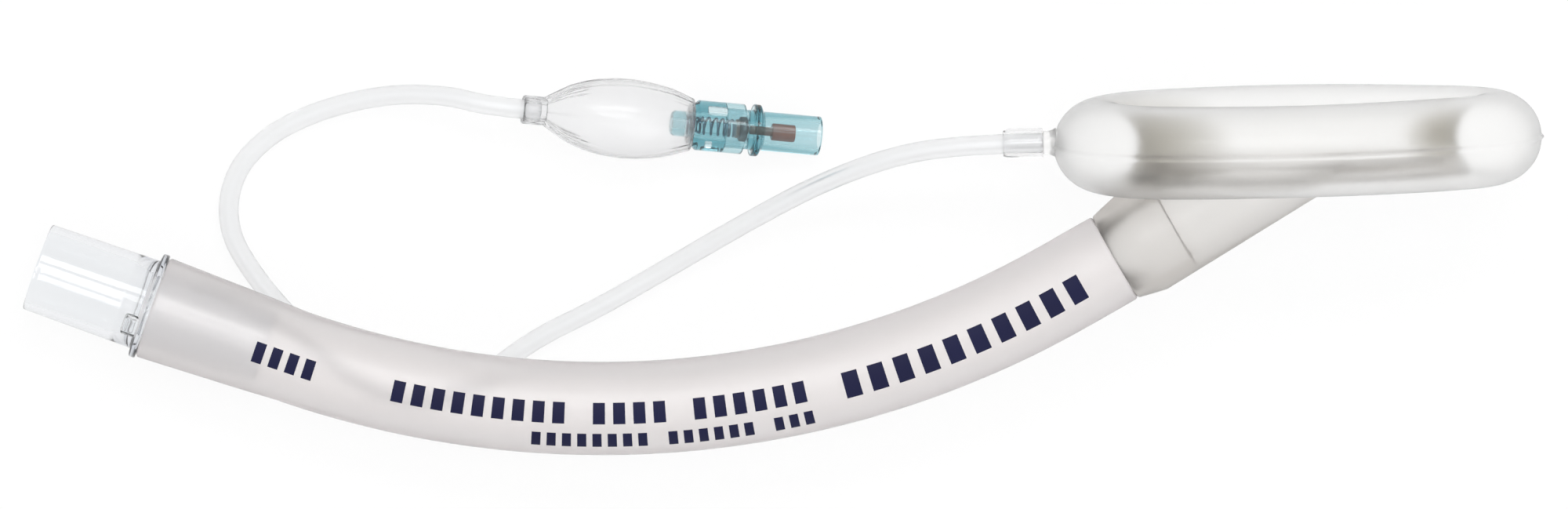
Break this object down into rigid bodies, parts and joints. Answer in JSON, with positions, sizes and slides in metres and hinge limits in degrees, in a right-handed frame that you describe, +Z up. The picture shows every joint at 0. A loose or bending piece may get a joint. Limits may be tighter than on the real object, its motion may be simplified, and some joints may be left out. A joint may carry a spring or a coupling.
{
  "type": "laryngeal mask airway",
  "caption": "Curved airway tube with an inflatable oval mask, a cone connector, and an inflation line to a pilot balloon with a sprung check valve.",
  "frame": {"origin": "middle of the bottom of the airway's own box, on the table that it lies on, without the inflation line and what is on it", "axes": "+Z up from the table; +X from the connector towards the tip of the mask; +Y towards the side that the mask opens to"},
  "size_m": [0.254, 0.0629, 0.0472],
  "materials": {
    "clear_connector": "gloss",
    "soft_tube": "satin",
    "soft_mask": "satin",
    "cuff_film": "satin",
    "line_plastic": "gloss",
    "balloon_film": "gloss",
    "valve_teal": "gloss",
    "valve_stem_plastic": "gloss",
    "head_brown": "satin",
    "seal_rubber": "matte",
    "spring_steel": "polished"
  },
  "bodies": {
    "airway": {"connector_15mm": "clear_connector", "airway_tube": "soft_tube", "mask_backplate": "soft_mask", "inflatable_cuff": "cuff_film", "cuff_port_sleeve": "line_plastic", "inflation_line": "line_plastic", "pilot_balloon": "balloon_film", "valve_tail_housing": "valve_teal", "valve_luer_body": "valve_teal", "valve_spring": "spring_steel"},
    "valve_plunger": {"valve_stem": "valve_stem_plastic", "valve_stem_head": "head_brown", "valve_seal": "seal_rubber"}
  },
  "joints": [
    {"name": "valve_press", "type": "slide", "parent": "airway", "child": "valve_plunger", "axis": [-0.9895, 0.1075, 0.097], "range_m": [0, 0.0015], "stiffness_N_per_m": 300, "springref_m": -0.001, "deforming": ["valve_spring"]}
  ]
}
